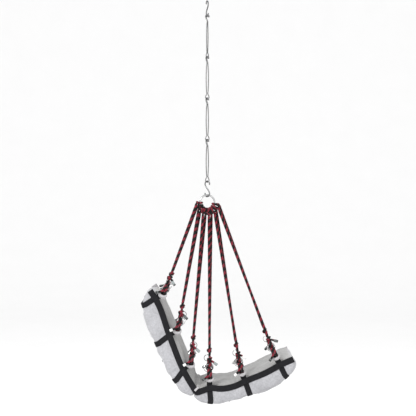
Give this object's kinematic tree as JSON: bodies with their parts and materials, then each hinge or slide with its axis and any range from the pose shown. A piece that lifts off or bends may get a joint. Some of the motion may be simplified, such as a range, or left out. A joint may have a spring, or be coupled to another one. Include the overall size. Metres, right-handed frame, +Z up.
{
  "type": "hanging swing chair",
  "caption": "Padded L-shaped swing chair for a child, slung on six ropes from a ring under a chain of S-hooks and wire extension links.",
  "frame": {"origin": "bearing point inside the upper bend of the top S-hook, where the chair hangs", "axes": "+Z up along the chain, +X from the back towards the sitter's knees, +Y to the sitter's left"},
  "size_m": [0.7681, 0.5539, 2.033],
  "materials": {
    "steel": "dull galvanised",
    "nickel": "bright nickel plate",
    "rope": "twisted black and dark red rope",
    "webbing": "woven black webbing",
    "felt": "heather grey felt",
    "foam": "firm foam",
    "zip": "moulded coil on woven tape",
    "slider": "plated"
  },
  "bodies": {
    "support": {"top_s_hook": "steel"},
    "link_1": {"extension_link_1": "steel"},
    "link_2": {"extension_link_2": "steel"},
    "link_3": {"extension_link_3": "steel"},
    "link_4": {"extension_link_4": "steel"},
    "lower_hook": {"lower_s_hook": "steel"},
    "chair": {"main_ring": "nickel", "back_cover": "felt", "back_foam": "foam", "back_zip": "zip", "seat_cover": "felt", "seat_foam": "foam", "seat_zip": "zip", "side_strap_right": "webbing", "side_strap_left": "webbing", "cross_strap_back_upper": "webbing", "rope_back_upper": "rope", "split_ring_back_upper_right": "nickel", "lashing_back_upper_right": "rope", "split_ring_back_upper_left": "nickel", "lashing_back_upper_left": "rope", "cross_strap_back_middle": "webbing", "rope_back_middle": "rope", "split_ring_back_middle_right": "nickel", "lashing_back_middle_right": "rope", "split_ring_back_middle_left": "nickel", "lashing_back_middle_left": "rope", "cross_strap_back_lower": "webbing", "rope_back_lower": "rope", "split_ring_back_lower_right": "nickel", "lashing_back_lower_right": "rope", "split_ring_back_lower_left": "nickel", "lashing_back_lower_left": "rope", "cross_strap_seat_rear": "webbing", "rope_seat_rear": "rope", "split_ring_seat_rear_right": "nickel", "lashing_seat_rear_right": "rope", "split_ring_seat_rear_left": "nickel", "lashing_seat_rear_left": "rope", "cross_strap_seat_middle": "webbing", "rope_seat_middle": "rope", "split_ring_seat_middle_right": "nickel", "lashing_seat_middle_right": "rope", "split_ring_seat_middle_left": "nickel", "lashing_seat_middle_left": "rope", "cross_strap_seat_front": "webbing", "rope_seat_front": "rope", "split_ring_seat_front_right": "nickel", "lashing_seat_front_right": "rope", "split_ring_seat_front_left": "nickel", "lashing_seat_front_left": "rope"},
    "back_slider": {"back_zip_slider": "slider"},
    "seat_slider": {"seat_zip_slider": "slider"}
  },
  "joints": [
    {"name": "hook_swing", "type": "hinge", "parent": "support", "child": "link_1", "pos_m": [0, 0, -0.07625], "axis": [0.342, 0.9397, 0], "range_deg": [-35, 35]},
    {"name": "link_joint_1", "type": "hinge", "parent": "link_1", "child": "link_2", "pos_m": [0, 0, -0.287], "axis": [0.6947, 0.7193, 0], "range_deg": [-20, 20]},
    {"name": "link_twist", "type": "hinge", "parent": "link_2", "child": "link_3", "pos_m": [0, 0, -0.4985], "axis": [0, 0, 1], "range_deg": [-20, 20]},
    {"name": "link_joint_3", "type": "hinge", "parent": "link_3", "child": "link_4", "pos_m": [0, 0, -0.71], "axis": [0.8192, 0.5736, 0], "range_deg": [-20, 20]},
    {"name": "lower_hook_swing", "type": "hinge", "parent": "link_4", "child": "lower_hook", "pos_m": [0, 0, -0.9215], "axis": [0.8192, 0.5736, 0], "range_deg": [-20, 20]},
    {"name": "ring_tilt", "type": "hinge", "parent": "lower_hook", "child": "chair", "pos_m": [0, 0, -0.99495], "axis": [0.8192, -0.5736, 0], "range_deg": [-25, 25]},
    {"name": "back_zip_slide", "type": "slide", "parent": "chair", "child": "back_slider", "axis": [0, 1, 0], "range_m": [0, 0.39]},
    {"name": "seat_zip_slide", "type": "slide", "parent": "chair", "child": "seat_slider", "axis": [0, 1, 0], "range_m": [0, 0.39]}
  ]
}
